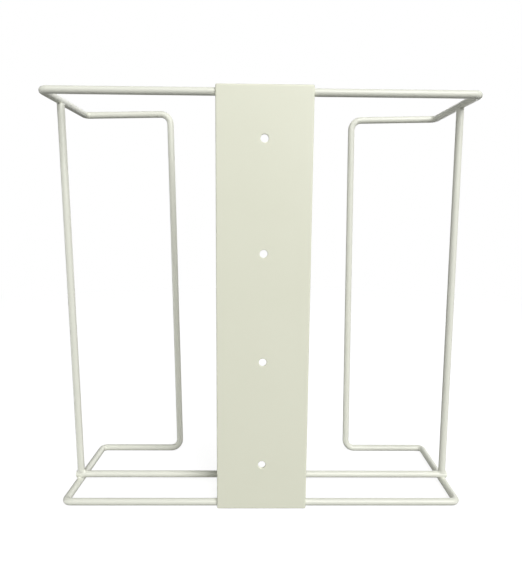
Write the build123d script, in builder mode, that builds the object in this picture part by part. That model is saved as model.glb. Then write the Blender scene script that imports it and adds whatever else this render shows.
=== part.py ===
from build123d import *
import os

os.makedirs("parts", exist_ok=True)

# Wall rack for two boxes of disposable gloves, one above the other. Millimetres, +Z up.
# The wall is the plane Y = 0 and the user stands on the -Y side, with +X on the right.
# The origin is the middle of the backplate's wall face.

# Round steel wire with its coating, the same stock for every wire
wire_dia = 4.9
wire_radius = wire_dia / 2

# Welds: how far a wire sinks into what it meets, and the height and the leg of the bead round the joint
weld_sink = 0.3
bead_height = 0.7
bead_leg = 1.2

# Basket sizes, from centre line to centre line of the wires
basket_width = 268.0
basket_height = 268.0
basket_depth = 85.0
slot_width = 139.2

# Inside radii of the bends
corner_bend = 1.5
arm_bend = 4.9

# The basket was bent by hand and hangs a little out of square: sideways offsets of the long wires from
# the middle of the plate, and the rise of the right arm's top, which is also the drop of the left one's
back_sway_top = 1.8
back_sway_foot = -0.4
front_sway_top = 1.1
front_sway_foot = -2.7
arm_tilt = 1.6

# Distance from the back wires forward to the cross wire and the two uprights, and how far inside the
# side rails' centre lines the uprights stand
middle_depth = 30.2
upright_inset = 0.9

# Backplate, a little taller than the basket
plate_width = 60.0
plate_thickness = 2.0
plate_top_margin = 1.5
plate_foot_margin = 0.5
plate_edge_radius = 0.8
plate_height = basket_height + wire_dia + plate_top_margin + plate_foot_margin

# Screw holes, one row up the middle of the plate
hole_dia = 5.0
hole_count = 4
hole_end_distance = 31.7
hole_pitch = (plate_height - 2 * hole_end_distance) / (hole_count - 1)

# Planes that the wires' centre lines lie in
back_y = -(plate_thickness + wire_radius - weld_sink)
middle_y = back_y - middle_depth
front_y = back_y - basket_depth
top_z = plate_height / 2 - plate_top_margin - wire_radius
foot_z = top_z - basket_height
cross_z = foot_z + wire_dia - weld_sink


def top_rail_x(side, depth):
    """X of a top rail's centre line, at a depth in front of the back wires."""
    sway = back_sway_top + (front_sway_top - back_sway_top) * depth / basket_depth
    return side * basket_width / 2 + sway


def lower_rail_x(side, depth):
    """X of a lower rail's centre line, at a depth in front of the back wires."""
    sway = back_sway_foot + (front_sway_foot - back_sway_foot) * depth / basket_depth
    return side * basket_width / 2 + sway


def weld_bead(seat):
    """Ring of weld metal with a triangular section, its crest in the plane where two wires meet."""
    crest = wire_radius + bead_height
    with Locations(seat):
        Cone(wire_radius, crest, bead_leg, align=(Align.CENTER, Align.CENTER, Align.MAX))
        Cone(crest, wire_radius, bead_leg, align=(Align.CENTER, Align.CENTER, Align.MIN))


# Backplate: a sheared strip with its edges rounded over and its holes punched through

with BuildPart() as backplate:
    with BuildSketch(Plane.XZ):
        Rectangle(plate_width, plate_height)
        with GridLocations(0, hole_pitch, 1, hole_count):
            Circle(hole_dia / 2, mode=Mode.SUBTRACT)
    extrude(amount=plate_thickness)
    wall_face = backplate.faces().sort_by(Axis.Y)[-1]
    inner_face = backplate.faces().sort_by(Axis.Y)[0]
    fillet(wall_face.outer_wire().edges() + inner_face.outer_wire().edges(), radius=plate_edge_radius)

backplate.part.label = "backplate"
export_step(backplate.part, "parts/backplate.step")

# Frame wire: one closed loop bent in space. Each half leaves the plate along the top of the back, turns
# into the top rail, in along the front, down the arm, out along the foot of the front, into the lower
# rail and home along the foot of the back. The halves meet behind the plate, where the loop is butt welded.


def half_loop(side):
    """Corner points of the loop's centre line, from the top butt to the foot butt."""
    arm_x = side * slot_width / 2
    return [
        (0, back_y, top_z),
        (top_rail_x(side, 0), back_y, top_z),
        (top_rail_x(side, basket_depth), front_y, top_z),
        (arm_x + front_sway_top, front_y, top_z + side * arm_tilt),
        (arm_x + front_sway_foot, front_y, foot_z),
        (lower_rail_x(side, basket_depth), front_y, foot_z),
        (lower_rail_x(side, 0), back_y, foot_z),
        (0, back_y, foot_z),
    ]


corner = corner_bend + wire_radius
arm_corner = arm_bend + wire_radius
bends = [corner, corner, arm_corner, arm_corner, corner, corner]

with BuildPart() as frame_wire:
    for side in (1, -1):
        with BuildLine() as bent_run:
            FilletPolyline(*half_loop(side), radius=bends)
        with BuildSketch(Plane(origin=bent_run.line @ 0, z_dir=bent_run.line % 0)):
            Circle(wire_radius)
        sweep(path=bent_run.line)
    add(backplate.part, mode=Mode.SUBTRACT)

frame_wire.part.label = "frame_wire"
export_step(frame_wire.part, "parts/frame_wire.step")

# Cross wire: straight, cut flush with the outer sides of the lower rails and welded on top of them.
# It passes free behind the plate and carries the boxes.

cross_start = lower_rail_x(-1, middle_depth) - wire_radius
cross_end = lower_rail_x(1, middle_depth) + wire_radius

with BuildPart() as cross_wire:
    with BuildLine() as cross_run:
        Line((cross_start, middle_y, cross_z), (cross_end, middle_y, cross_z))
    with BuildSketch(Plane(origin=cross_run.line @ 0, z_dir=cross_run.line % 0)):
        Circle(wire_radius)
    sweep(path=cross_run.line)
    for side in (1, -1):
        weld_bead(Plane(origin=(lower_rail_x(side, middle_depth), middle_y, (foot_z + cross_z) / 2)))
    add(frame_wire.part, mode=Mode.SUBTRACT)

cross_wire.part.label = "cross_wire"
export_step(cross_wire.part, "parts/cross_wire.step")

# Uprights: straight wires that stand on the ends of the cross wire and butt under the top rails,
# each with a bead of weld round both ends

for side, name in ((-1, "upright_left"), (1, "upright_right")):
    foot_x = lower_rail_x(side, middle_depth) - side * upright_inset
    top_x = top_rail_x(side, middle_depth) - side * upright_inset
    upright_foot = Vector(foot_x, middle_y, cross_z + wire_radius - weld_sink)
    upright_top = Vector(top_x, middle_y, top_z - wire_radius + weld_sink)
    with BuildPart() as upright:
        with BuildLine() as upright_run:
            Line(upright_foot, upright_top)
        with BuildSketch(Plane(origin=upright_run.line @ 0, z_dir=upright_run.line % 0)):
            Circle(wire_radius)
        sweep(path=upright_run.line)
        for end in (upright_foot, upright_top):
            weld_bead(Plane(origin=end, z_dir=upright_run.line % 0))
        add([frame_wire.part, cross_wire.part], mode=Mode.SUBTRACT)

    upright.part.label = name
    export_step(upright.part, f"parts/{name}.step")
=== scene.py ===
import math
import bmesh
import bpy
from mathutils import Matrix, Vector


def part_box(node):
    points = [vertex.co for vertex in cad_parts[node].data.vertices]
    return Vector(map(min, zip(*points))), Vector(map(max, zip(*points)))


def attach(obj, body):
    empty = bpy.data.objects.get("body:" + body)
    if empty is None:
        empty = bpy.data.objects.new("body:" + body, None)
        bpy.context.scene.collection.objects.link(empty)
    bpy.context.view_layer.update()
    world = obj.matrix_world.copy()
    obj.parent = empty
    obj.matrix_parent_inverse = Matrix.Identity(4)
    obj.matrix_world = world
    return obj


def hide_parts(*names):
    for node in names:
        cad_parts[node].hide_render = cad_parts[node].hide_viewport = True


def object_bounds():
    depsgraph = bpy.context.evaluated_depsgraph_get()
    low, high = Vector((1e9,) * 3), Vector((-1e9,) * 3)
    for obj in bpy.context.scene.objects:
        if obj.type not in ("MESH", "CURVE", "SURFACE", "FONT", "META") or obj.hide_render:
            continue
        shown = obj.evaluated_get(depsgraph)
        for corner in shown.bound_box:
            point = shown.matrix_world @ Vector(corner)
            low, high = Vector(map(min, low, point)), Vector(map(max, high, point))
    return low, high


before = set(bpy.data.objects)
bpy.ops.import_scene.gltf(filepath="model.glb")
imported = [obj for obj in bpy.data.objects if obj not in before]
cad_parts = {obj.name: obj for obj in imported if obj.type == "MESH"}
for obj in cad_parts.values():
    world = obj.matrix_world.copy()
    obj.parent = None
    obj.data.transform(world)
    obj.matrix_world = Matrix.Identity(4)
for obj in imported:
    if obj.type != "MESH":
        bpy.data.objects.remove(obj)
cad_low, cad_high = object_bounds()
scene = bpy.context.scene

# Camera. It stands on the wall side, 6 cm above the middle of the plate, and looks slightly down. Its place
# and its turn, in degrees, were worked out from the corners of the rack in the photograph. The focal length
# and the photograph's long side are in pixels.
camera_place = Vector((0.00649, 0.33231, 0.05962))
camera_turn = (81.469, -0.472, 179.201)
focal_length = 528.47
photo_long_side = 588
sensor_width = 36.0
nearest_seen = 0.01

camera_data = bpy.data.cameras.new("camera")
camera_data.sensor_width = sensor_width
camera_data.lens = focal_length * sensor_width / photo_long_side
camera_data.clip_start = nearest_seen
camera = bpy.data.objects.new("camera", camera_data)
camera.location = camera_place
camera.rotation_euler = [math.radians(angle) for angle in camera_turn]
scene.collection.objects.link(camera)
scene.camera = camera
scene.view_settings.view_transform = "Standard"

# Studio. A white dome with a flat floor, on which the rack stands on its foot wires. Only the camera sees it,
# so that it throws no light up under the wires. Near the rack the floor is a matt white that takes a faint
# shadow, and further out it fades into the glowing white of the dome.
dome_radius = 6.0
dome_segments = 64
dome_rings = 32
shadow_near = 0.25
shadow_far = 1.1
floor_white = 0.30
floor_glow = 0.87


def link_nodes(tree, chain):
    """Links a list of (node, output, node, input) in a node tree."""
    for from_node, output, to_node, socket in chain:
        tree.links.new(from_node.outputs[output], to_node.inputs[socket])


floor_paint = bpy.data.materials.new("floor_paint")
floor_paint.use_nodes = True
tree = floor_paint.node_tree
tree.nodes.clear()
place = tree.nodes.new("ShaderNodeTexCoord")
distance = tree.nodes.new("ShaderNodeVectorMath")
distance.operation = "LENGTH"
fade = tree.nodes.new("ShaderNodeMapRange")
fade.interpolation_type = "SMOOTHSTEP"
fade.inputs["From Min"].default_value = shadow_near
fade.inputs["From Max"].default_value = shadow_far
matt = tree.nodes.new("ShaderNodeBsdfDiffuse")
matt.inputs["Color"].default_value = (floor_white, floor_white, floor_white, 1)
glow = tree.nodes.new("ShaderNodeEmission")
glow.inputs["Strength"].default_value = floor_glow
near_floor = tree.nodes.new("ShaderNodeAddShader")
far_floor = tree.nodes.new("ShaderNodeEmission")
floor_mix = tree.nodes.new("ShaderNodeMixShader")
floor_out = tree.nodes.new("ShaderNodeOutputMaterial")
link_nodes(tree, [
    (place, "Object", distance, 0),
    (distance, "Value", fade, "Value"),
    (matt, "BSDF", near_floor, 0),
    (glow, "Emission", near_floor, 1),
    (fade, "Result", floor_mix, "Fac"),
    (near_floor, "Shader", floor_mix, 1),
    (far_floor, "Emission", floor_mix, 2),
    (floor_mix, "Shader", floor_out, "Surface"),
])

bm = bmesh.new()
bmesh.ops.create_uvsphere(bm, u_segments=dome_segments, v_segments=dome_rings, radius=dome_radius)
cut = bmesh.ops.bisect_plane(
    bm,
    geom=bm.verts[:] + bm.edges[:] + bm.faces[:],
    plane_co=(0, 0, cad_low.z),
    plane_no=(0, 0, 1),
    clear_inner=True,
)
bmesh.ops.contextual_create(bm, geom=[e for e in cut["geom_cut"] if isinstance(e, bmesh.types.BMEdge)])
bmesh.ops.recalc_face_normals(bm, faces=bm.faces)
bmesh.ops.reverse_faces(bm, faces=bm.faces)
dome_mesh = bpy.data.meshes.new("studio_floor")
bm.to_mesh(dome_mesh)
bm.free()
dome_mesh.materials.append(floor_paint)
studio_floor = bpy.data.objects.new("studio_floor", dome_mesh)
scene.collection.objects.link(studio_floor)
studio_floor.visible_diffuse = False
studio_floor.visible_glossy = False
studio_floor.visible_shadow = False

# Light. A big softbox up on the camera's side, towards -X, gives the wires their bright and their dark sides
# and throws the plate's shadow on the cross wire. Weaker panels fill in above the camera, low down on both
# sides and beyond the rack, and the room adds a faint even white.
light_distance = 3.0
room_glow = 0.088
# Name, turn from +Y towards +X and lift in degrees, width and height in metres, watts
softboxes = [
    ("key", -27, 33, 1.8, 2.7, 90.0),
    ("front_fill", 5, 38, 2.0, 2.0, 19.0),
    ("right_card", 90, -20, 1.8, 2.7, 31.0),
    ("left_card", -90, -30, 1.8, 1.8, 11.0),
    ("rear_panel", -160, 12, 2.7, 2.7, 38.0),
]

for name, turn, lift, width, height, watts in softboxes:
    turn, lift = math.radians(turn), math.radians(lift)
    way = Vector((math.sin(turn) * math.cos(lift), math.cos(turn) * math.cos(lift), math.sin(lift)))
    light_data = bpy.data.lights.new(name, "AREA")
    light_data.shape = "RECTANGLE"
    light_data.size = width
    light_data.size_y = height
    light_data.energy = watts
    light = bpy.data.objects.new(name, light_data)
    light.location = way * light_distance
    light.rotation_euler = way.to_track_quat("Z", "Y").to_euler()
    light.visible_camera = False
    scene.collection.objects.link(light)

room = bpy.data.worlds.new("room")
room.use_nodes = True
walls = room.node_tree.nodes["Background"]
walls.inputs["Color"].default_value = (1, 1, 1, 1)
walls.inputs["Strength"].default_value = room_glow
scene.world = room

# Powder coat. The whole rack is sprayed and baked after it is welded, in one satin off-white with a little
# green in it. On the wires that colour is painted paler and less yellow, a painted sheen of the white room on
# the round wires. The cured coat has a fine orange peel, and its shade and gloss wander slightly. The scales
# are in waves to the metre.
coat_ior = 1.5
coat_gloss = 0.30
coat_dull = 0.40
shade_scale = 22.0
gloss_scale = 66.0
gloss_wave_low = 0.3
gloss_wave_high = 0.7
peel_scale = 850.0
peel_height = 0.00002
grit_scale = 4200.0
grit_height = 0.000004


def noise_at(tree, place, scale, detail):
    """A noise texture in the piece's own metres."""
    noise = tree.nodes.new("ShaderNodeTexNoise")
    noise.inputs["Scale"].default_value = scale
    noise.inputs["Detail"].default_value = detail
    tree.links.new(place.outputs["Object"], noise.inputs["Vector"])
    return noise


def powder_coat(name, light, deep):
    """The coat as a material, between a lighter and a deeper shade."""
    coat = bpy.data.materials.new(name)
    coat.use_nodes = True
    tree = coat.node_tree
    finish = tree.nodes["Principled BSDF"]
    finish.inputs["IOR"].default_value = coat_ior
    place = tree.nodes.new("ShaderNodeTexCoord")
    shade = noise_at(tree, place, shade_scale, detail=3.0)
    shade_mix = tree.nodes.new("ShaderNodeMix")
    shade_mix.data_type = "RGBA"
    shade_mix.inputs["A"].default_value = (*deep, 1)
    shade_mix.inputs["B"].default_value = (*light, 1)
    gloss = noise_at(tree, place, gloss_scale, detail=4.0)
    gloss_range = tree.nodes.new("ShaderNodeMapRange")
    gloss_range.inputs["From Min"].default_value = gloss_wave_low
    gloss_range.inputs["From Max"].default_value = gloss_wave_high
    gloss_range.inputs["To Min"].default_value = coat_gloss
    gloss_range.inputs["To Max"].default_value = coat_dull
    peel = noise_at(tree, place, peel_scale, detail=1.0)
    grit = noise_at(tree, place, grit_scale, detail=2.0)
    peel_bump = tree.nodes.new("ShaderNodeBump")
    peel_bump.inputs["Distance"].default_value = peel_height
    grit_bump = tree.nodes.new("ShaderNodeBump")
    grit_bump.inputs["Distance"].default_value = grit_height
    link_nodes(tree, [
        (shade, "Fac", shade_mix, "Factor"),
        (shade_mix, "Result", finish, "Base Color"),
        (gloss, "Fac", gloss_range, "Value"),
        (gloss_range, "Result", finish, "Roughness"),
        (grit, "Fac", grit_bump, "Height"),
        (grit_bump, "Normal", peel_bump, "Normal"),
        (peel, "Fac", peel_bump, "Height"),
        (peel_bump, "Normal", finish, "Normal"),
    ])
    return coat


# Backplate. A sheared strip of 2 mm steel with four screw holes punched up its middle, one above the other.
# Its outer edges are rounded over, and the coat rounds the rims of the holes. The mesh has a square patch of
# finer cells round each hole.
plate_low, plate_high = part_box("backplate")
hole_radius = 0.0025
hole_count = 4
hole_end_distance = 0.0317
plate_edge = 0.00095
hole_rim = 0.00045
edge_steps = 6
rim_steps = 4
sharp_turn = math.radians(60)
plate_light = (0.835, 0.845, 0.700)
plate_deep = (0.805, 0.815, 0.665)
patch_side = 0.012
patch_reach = 0.51 * patch_side
patch_cells = 10
side_cells = 8


def spread(start, stop, cells):
    """The values that divide start to stop into even cells, without the first."""
    return [start + (stop - start) * i / cells for i in range(1, cells + 1)]


def pull(bm, edges, move):
    """Draws edges out by one move, and gives the new edges at their end."""
    made = bmesh.ops.extrude_edge_only(bm, edges=edges)["geom"]
    moved = [part for part in made if isinstance(part, bmesh.types.BMVert)]
    bmesh.ops.translate(bm, verts=moved, vec=move)
    return [part for part in made if isinstance(part, bmesh.types.BMEdge) and part.is_boundary
            and all(vert in moved for vert in part.verts)]


def round_over(bm, edges, radius, steps):
    """Rounds sharp edges with a bevel of so many steps."""
    bmesh.ops.bevel(bm, geom=edges, affect="EDGES", offset=radius, segments=steps, profile=0.5, material=-1)


def make_piece(name, bm, coat):
    """Turns a finished bmesh into a smooth, coated object at the origin."""
    mesh = bpy.data.meshes.new(name)
    bm.to_mesh(mesh)
    bm.free()
    mesh.shade_smooth()
    mesh.materials.append(coat)
    piece = bpy.data.objects.new(name, mesh)
    scene.collection.objects.link(piece)
    return piece


plate_thickness = plate_high.y - plate_low.y
lowest_hole = plate_low.z + hole_end_distance
hole_pitch = (plate_high.z - plate_low.z - 2 * hole_end_distance) / (hole_count - 1)
hole_heights = [lowest_hole + hole_pitch * i for i in range(hole_count)]

# The lines of cells across and up the plate
x_lines = spread(plate_low.x, -patch_side / 2, side_cells)
x_lines += spread(-patch_side / 2, patch_side / 2, patch_cells)
x_lines += spread(patch_side / 2, plate_high.x, side_cells)
z_lines = []
reached = plate_low.z
for height in hole_heights:
    z_lines += spread(reached, height - patch_side / 2, side_cells)
    z_lines += spread(height - patch_side / 2, height + patch_side / 2, patch_cells)
    reached = height + patch_side / 2
z_lines += spread(reached, plate_high.z, side_cells)

# The wall face, drawn along the foot and pulled up line by line
bm = bmesh.new()
tip = bm.verts.new((plate_low.x, plate_high.y, plate_low.z))
foot_edges = []
for x in x_lines:
    made = bmesh.ops.extrude_vert_indiv(bm, verts=[tip])
    tip = made["verts"][0]
    tip.co.x = x
    foot_edges += made["edges"]
row = foot_edges
reached = plate_low.z
for z in z_lines:
    row = pull(bm, row, (0, 0, z - reached))
    reached = z

# The holes: each patch is taken out, and new cells run from its square outline in to the circle
for height in hole_heights:
    centre = Vector((0, plate_high.y, height))
    inside = [
        face for face in bm.faces
        if max(abs(c) for c in face.calc_center_median() - centre) < patch_side / 2
    ]
    bmesh.ops.delete(bm, geom=inside, context="FACES")
    square = [
        edge for edge in bm.edges
        if edge.is_boundary and max(abs(c) for v in edge.verts for c in v.co - centre) < patch_reach
    ]
    rim = {vert for edge in pull(bm, square, (0, 0, 0)) for vert in edge.verts}
    for vert in rim:
        vert.co = centre + (vert.co - centre).normalized() * hole_radius

# The thickness, and the edges and rims rounded
made = bmesh.ops.extrude_face_region(bm, geom=bm.faces[:])["geom"]
inner_face = [part for part in made if isinstance(part, bmesh.types.BMVert)]
bmesh.ops.translate(bm, verts=inner_face, vec=(0, -plate_thickness, 0))
bmesh.ops.recalc_face_normals(bm, faces=bm.faces)


def turned_edges(bm):
    """The edges where two faces meet at about a right angle."""
    return [edge for edge in bm.edges if edge.is_manifold and edge.calc_face_angle() > sharp_turn]


def near_hole(edge):
    """True for an edge on a hole's rim."""
    return max(abs(vert.co.x) for vert in edge.verts) < patch_side / 2 and any(
        abs(edge.verts[0].co.z - height) < patch_side / 2 for height in hole_heights
    )


round_over(bm, [edge for edge in turned_edges(bm) if near_hole(edge)], hole_rim, rim_steps)
round_over(bm, [edge for edge in turned_edges(bm) if not near_hole(edge)], plate_edge, edge_steps)
plate_coat = powder_coat("plate_coat", plate_light, plate_deep)
backplate = make_piece("coated_backplate", bm, plate_coat)
backplate.modifiers.new("flat_faces", "WEIGHTED_NORMAL")
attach(backplate, "root")
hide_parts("backplate")

# Frame wire. One round wire bent by hand into a closed loop, a little out of square: along the back, forward
# as a side rail, in along the front, down as an arm, and the same way home along the foot. Its two back runs
# are welded to the plate's inner face, and the coat fills the seams above and below each.
loop_low, loop_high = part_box("frame_wire")
wire_radius = 0.00245
basket_width = 0.268
basket_height = 0.268
slot_width = 0.1392
back_sway_top = 0.0018
back_sway_foot = -0.0004
front_sway_top = 0.0011
front_sway_foot = -0.0027
arm_tilt = 0.0016
corner_bend = 0.0015 + wire_radius
arm_bend = 0.0049 + wire_radius
wire_sides = 48
bend_steps = 18
run_length = 0.012
# The wires' two shades are the coat's own colour painted paler and less yellow: a painted sheen of the white
# room.
wire_sheen_light = (0.840, 0.850, 0.755)
wire_sheen_deep = (0.810, 0.820, 0.718)
seam_radius = 0.0006
seam_end = 0.0292
seam_taper = 0.003
seam_tip_share = 0.01
seam_runs = 48
seam_steps = 8
merge_distance = 0.000001

back_y = loop_high.y - wire_radius
front_y = loop_low.y + wire_radius
foot_z = loop_low.z + wire_radius
top_z = foot_z + basket_height


def top_rail(side, y):
    """Point of a top rail's centre line at a depth."""
    forward = (y - back_y) / (front_y - back_y)
    sway = back_sway_top + (front_sway_top - back_sway_top) * forward
    return Vector((side * basket_width / 2 + sway, y, top_z))


def lower_rail(side, y):
    """Point of a lower rail's centre line at a depth."""
    forward = (y - back_y) / (front_y - back_y)
    sway = back_sway_foot + (front_sway_foot - back_sway_foot) * forward
    return Vector((side * basket_width / 2 + sway, y, foot_z))


def half_loop(side):
    """Corners of one half's centre line from top to foot, each with the radius of its bend."""
    arm_x = side * slot_width / 2
    return [
        (top_rail(side, back_y), corner_bend),
        (top_rail(side, front_y), corner_bend),
        (Vector((arm_x + front_sway_top, front_y, top_z + side * arm_tilt)), arm_bend),
        (Vector((arm_x + front_sway_foot, front_y, foot_z)), arm_bend),
        (lower_rail(side, front_y), corner_bend),
        (lower_rail(side, back_y), corner_bend),
    ]


def start_ring(bm, centre, way):
    """A ring of wire at a point, facing the way that the wire goes."""
    turn = Matrix.Translation(centre) @ way.to_track_quat("Z", "Y").to_matrix().to_4x4()
    ring = bmesh.ops.create_circle(bm, segments=wire_sides, radius=wire_radius, matrix=turn)["verts"]
    return list({edge for vert in ring for edge in vert.link_edges})


def run_to(bm, ring, start, end):
    """Draws a ring of wire straight from start to end, in runs of about one length."""
    count = max(1, round((end - start).length / run_length))
    for _ in range(count):
        ring = pull(bm, ring, (end - start) / count)
    return ring


def bend(bm, ring, corner, way_in, way_out, radius):
    """Bends a ring of wire round a corner, and gives the new ring and the point where the bend ends."""
    turn = way_in.angle(way_out)
    axis = way_in.cross(way_out).normalized()
    setback = radius * math.tan(turn / 2)
    centre = corner - way_in * setback + axis.cross(way_in) * radius
    verts = list({vert for edge in ring for vert in edge.verts})
    made = bmesh.ops.spin(bm, geom=verts + ring, cent=centre, axis=axis, angle=turn, steps=bend_steps)
    last = [part for part in made["geom_last"] if isinstance(part, bmesh.types.BMEdge)]
    return last, corner + way_out * setback


bm = bmesh.new()
butt = Vector((0, back_y, top_z))
corners = half_loop(1) + half_loop(-1)[::-1]
first_ring = start_ring(bm, butt, Vector((1, 0, 0)))
ring = first_ring
reached = butt
way_in = Vector((1, 0, 0))
for i, (corner, radius) in enumerate(corners):
    onward = corners[i + 1][0] if i + 1 < len(corners) else butt
    way_out = (onward - corner).normalized()
    setback = radius * math.tan(way_in.angle(way_out) / 2)
    ring = run_to(bm, ring, reached, corner - way_in * setback)
    ring, reached = bend(bm, ring, corner, way_in, way_out, radius)
    way_in = way_out
ring = run_to(bm, ring, reached, butt - way_in * run_length)
bmesh.ops.bridge_loops(bm, edges=ring + first_ring)


def seam_point(height, way, x, step):
    """A point on a filled seam's outline, which crosses its hollow face and ends at its buried root."""
    to_plate = plate_low.y - back_y
    tapered = min(1, (seam_end - abs(x)) / seam_taper)
    fillet = seam_radius * math.sqrt(max(seam_tip_share, 1 - (1 - tapered) ** 2))
    lean = math.acos((to_plate - fillet) / (wire_radius + fillet))
    across = (wire_radius + fillet) * math.sin(lean)
    if step == seam_steps:
        return Vector((x, plate_low.y + fillet / 2, height + way * (across - 2 * fillet)))
    turn = (math.pi - lean) * step / (seam_steps - 1)
    return Vector((
        x,
        plate_low.y - fillet + fillet * math.cos(turn),
        height + way * (across - fillet * math.sin(turn)),
    ))


# Each seam is a sheet rolled up along the wire, its last row of points meeting its first
for height in (top_z, foot_z):
    for way in (1, -1):
        grid = bmesh.ops.create_grid(bm, x_segments=seam_runs, y_segments=seam_steps + 1, size=1)["verts"]
        for vert in grid:
            step = round((vert.co.y + 1) / 2 * (seam_steps + 1)) % (seam_steps + 1)
            vert.co = seam_point(height, way, vert.co.x * seam_end, step)
        bmesh.ops.remove_doubles(bm, verts=grid, dist=merge_distance)
bmesh.ops.recalc_face_normals(bm, faces=bm.faces)
# The wires' coat carries the painted sheen in its paler, less yellow shades.
sheened_wire_coat = powder_coat("sheened_wire_coat", wire_sheen_light, wire_sheen_deep)
frame_wire = make_piece("coated_frame_wire", bm, sheened_wire_coat)
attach(frame_wire, "root")
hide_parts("frame_wire")

# Cross wire. A straight length laid on the lower rails about a third of the way forward, cut flush with their
# outer sides and welded at both crossings. The weld metal fills the crotch between the two wires.
cross_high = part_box("cross_wire")[1]
post_low, post_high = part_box("upright_left")
middle_y = (post_low.y + post_high.y) / 2
cross_z = cross_high.z - wire_radius
cut_rim = 0.0004
crossing_fill = 0.0013
weld_reach = 0.0052
weld_sink = 0.00002
weld_divisions = 6
weld_steps = 20


def cut_wire(bm, start, end):
    """A straight wire with closed ends, their rims rounded by the coat."""
    way = (end - start).normalized()
    first = start_ring(bm, start, way)
    last = run_to(bm, first, start, end)
    caps = [bmesh.ops.contextual_create(bm, geom=ring)["faces"][0] for ring in (first, last)]
    round_over(bm, [edge for cap in caps for edge in cap.edges], cut_rim, rim_steps)


def wire_distance(point, wire):
    """Distance from a point to the surface of a straight wire with rounded rims, below zero inside it."""
    start, end = wire
    way = (end - start).normalized()
    offset = point - (start + end) / 2
    along = abs(offset.dot(way)) - ((end - start).length / 2 - cut_rim)
    across = (offset - way * offset.dot(way)).length - (wire_radius - cut_rim)
    outside = math.hypot(max(along, 0), max(across, 0))
    return outside + min(max(along, across), 0) - cut_rim


def welded_distance(point, first, second, fill):
    """Distance to two wires joined by a smooth fillet, as the smooth minimum of their distances."""
    a = wire_distance(point, first)
    b = wire_distance(point, second)
    overlap = max(fill - abs(a - b), 0) / fill
    return min(a, b) - overlap * overlap * fill / 4


def weld(bm, seat, first, second, fill):
    """A ball of weld metal in a joint, each of its points pushed out to the fillet between the wires."""
    place = Matrix.Translation(seat)
    ball = bmesh.ops.create_icosphere(bm, subdivisions=weld_divisions, radius=weld_reach, matrix=place)
    for vert in ball["verts"]:
        ray = (vert.co - seat).normalized()
        near = 0.0
        far = weld_reach
        for _ in range(weld_steps):
            middle = (near + far) / 2
            if welded_distance(seat + ray * middle, first, second, fill) < -weld_sink:
                near = middle
            else:
                far = middle
        vert.co = seat + ray * near


cross_run = [
    lower_rail(side, middle_y) + Vector((side * wire_radius, 0, cross_z - foot_z)) for side in (-1, 1)
]
bm = bmesh.new()
cut_wire(bm, *cross_run)
for side in (-1, 1):
    seat = lower_rail(side, middle_y) + Vector((0, 0, (cross_z - foot_z) / 2))
    rail = (lower_rail(side, back_y), lower_rail(side, front_y))
    weld(bm, seat, cross_run, rail, crossing_fill)
bmesh.ops.recalc_face_normals(bm, faces=bm.faces)
cross_wire = make_piece("coated_cross_wire", bm, sheened_wire_coat)
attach(cross_wire, "root")
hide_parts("cross_wire")

# Uprights. Two straight wires that stand on the ends of the cross wire and butt under the top rails. Their
# ends are square cuts, so the welds at their feet are the fullest on the rack.
upright_inset = 0.0009
foot_fill = 0.0016
top_fill = 0.0009
butt_sink = 0.0003

for side, node in ((-1, "upright_left"), (1, "upright_right")):
    inward = Vector((-side * upright_inset, 0, 0))
    foot = lower_rail(side, middle_y) + inward
    foot.z = cross_z + wire_radius - butt_sink
    top = top_rail(side, middle_y) + inward
    top.z = top_z - wire_radius + butt_sink
    post = (foot, top)
    rail = (top_rail(side, back_y), top_rail(side, front_y))
    half_sink = Vector((0, 0, butt_sink / 2))
    bm = bmesh.new()
    cut_wire(bm, *post)
    weld(bm, foot + half_sink, post, cross_run, foot_fill)
    weld(bm, top - half_sink, post, rail, top_fill)
    bmesh.ops.recalc_face_normals(bm, faces=bm.faces)
    upright = make_piece("coated_" + node, bm, sheened_wire_coat)
    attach(upright, "root")
    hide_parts(node)
